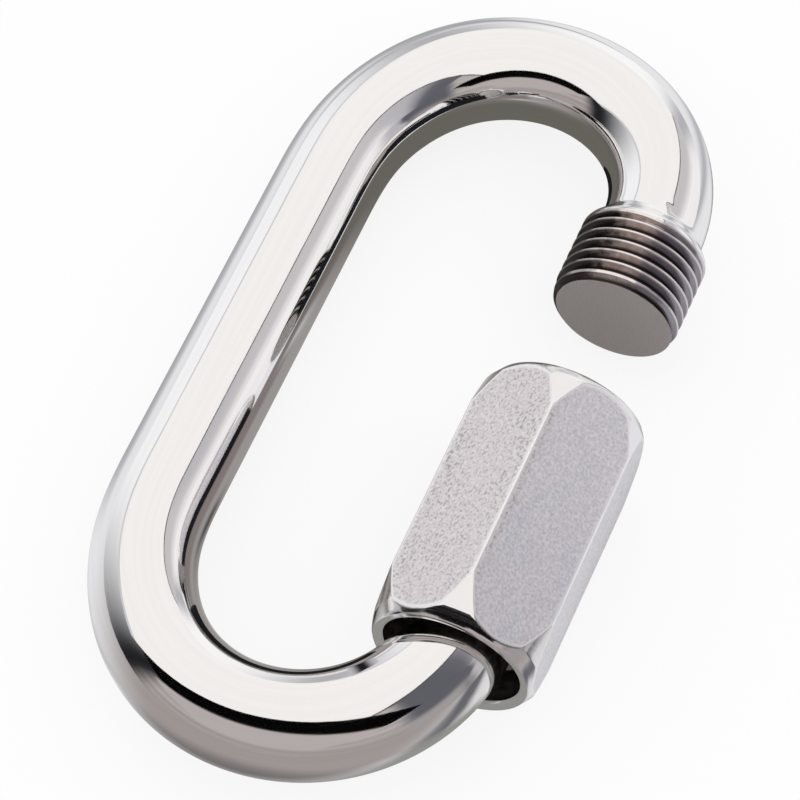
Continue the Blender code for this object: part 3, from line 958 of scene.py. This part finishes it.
def inner_table_painted_shadow(x, y):
    """Painted shadow on the table in the link: pale in front, pinkish grey, then dark at the upper bow.
    """
    shade = blend(INNER_SHADOW_GREY, INNER_SHADOW_PINK, fade(x, -0.004, 0.0))
    shade = blend(INNER_SHADOW_PALE, shade, fade(y, -0.026, -0.018))
    shade = blend(shade, INNER_SHADOW_DARK, fade(y, 0.005, 0.019))
    # A painted pool of light in the middle of the link
    painted_light_spot = 0.85 * hump(x, 0.0, 0.0032) * hump(y, 0.0066, 0.0024)
    shade = blend(shade, INNER_PAINTED_LIGHT, painted_light_spot)
    # A painted dark spot of shade near the plain leg
    painted_dark_spot = 0.9 * hump(x, -0.0070, 0.0014) * hump(y, -0.0138, 0.0020)
    return blend(shade, CARD_BLACK, painted_dark_spot)


def make_table_sheet():
    """A sheet just over the floor, fine near the object and coarse far out."""
    spread = np.sinh(np.linspace(-TABLE_SHEET_CROWDING, TABLE_SHEET_CROWDING, TABLE_SHEET_COLUMNS))
    places = TABLE_SHEET_REACH * spread / spread[-1]
    rows = [[(x, y, TABLE_SHEET_HEIGHT) for x in places] for y in places]
    reflection_only("table_sheet", rows, table_shade)


def make_level_sheet(name, place, shade):
    """A sheet that hangs level over the object."""
    left, right, front, back = place
    columns = np.linspace(left, right, SHEET_COLUMNS)
    rows = [[(x, y, PANEL_HEIGHT) for x in columns] for y in np.linspace(front, back, SHEET_COLUMNS)]
    reflection_only(name, rows, shade)


def make_standing_card(name, place, shade):
    """A small card upright along the link, in line with its legs."""
    x, front, back, low, high = place
    columns = np.linspace(front, back, CARD_COLUMNS)
    rows = [[(x, y, z) for y in columns] for z in np.linspace(low, high, CARD_COLUMNS)]
    reflection_only(name, rows, shade)


def make_cross_card(name, place, shade):
    """A small card upright across the link."""
    y, left, right, low, high = place
    columns = np.linspace(left, right, CARD_COLUMNS)
    rows = [[(x, y, z) for x in columns] for z in np.linspace(low, high, CARD_COLUMNS)]
    reflection_only(name, rows, shade)


def mouth_shadow_card_shade(x, y, z):
    """Painted shadow, black in the middle, fading along the card to the tone of the cloth behind it."""
    blackness = min(1.0, 1.2 * hump(y, MOUTH_SHADOW_CARD_BLACKEST, 0.0008))
    return blend(SOFT_EDGE_GREY, CARD_BLACK, blackness)


def strip_shade(x, y, z):
    """Black, softening into the pinkish cloth at its front edge."""
    return blend(STRIP_BLACK, PINK_CLOTH, fade(y, -0.132, -0.150))


def side_shade(x, y, z):
    """Slate at the front, then grey, and lighter towards the back and the right."""
    far_shade = blend(SIDE_FAR_GREY, SIDE_FAR_LIGHT, fade(x, 0.100, 0.180))
    shade = blend(SIDE_GREY, far_shade, fade(y, 0.050, 0.095))
    return blend(SLATE, shade, fade(y, -0.005, 0.040))


def light_studio():
    """White light from all round; the metal reflects a light panel, a black strip and a tent."""
    world = bpy.data.worlds.new("studio")
    world.use_nodes = True
    background = world.node_tree.nodes["Background"]
    background.inputs["Color"].default_value = (*WHITE_CLOTH, 1.0)
    background.inputs["Strength"].default_value = 1.0
    bpy.context.scene.world = world
    make_tent()
    make_table_sheet()
    make_level_sheet("light_panel", LIGHT_PANEL, plain(PANEL_LIGHT))
    make_level_sheet("panel_edge", PANEL_EDGE, plain(PANEL_EDGE_DARK))
    make_level_sheet("panel_left_edge", PANEL_LEFT_EDGE, plain(PANEL_EDGE_PALE))
    make_level_sheet("side_panel", SIDE_PANEL, side_shade)
    make_level_sheet("black_strip", BLACK_STRIP, strip_shade)
    # Painted dark reflections: black cards inside the link draw dark lines on the plain leg's inner
    # side
    make_standing_card("upper_painted_reflection_card", UPPER_PAINTED_REFLECTION_CARD, plain(CARD_BLACK))
    make_standing_card("lower_painted_reflection_card", LOWER_PAINTED_REFLECTION_CARD, plain(CARD_BLACK))
    # Painted shadow: a black card in the nut's mouth, darkening the top of its end face in reflections
    make_standing_card("mouth_shadow_card", MOUTH_SHADOW_CARD, mouth_shadow_card_shade)
    # Painted dark reflection on the inner edge of the lower bow
    make_cross_card("bow_painted_reflection_card", BOW_PAINTED_REFLECTION_CARD, plain(CARD_BLACK))
    make_level_sheet("front_cloth", FRONT_CLOTH, plain(PINK_CLOTH))


def main():
    bar = make_bar([polished_steel(), thread_steel(), end_face_steel()])
    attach(bar, "link")
    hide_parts("link_body")

    nut = make_nut([blasted_steel(), turned_steel(), worn_corner_steel(), bore_steel()])
    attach(nut, "nut")
    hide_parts("sleeve_nut")

    make_camera()
    make_floor()
    light_studio()
    bpy.context.scene.view_settings.view_transform = "Standard"


main()
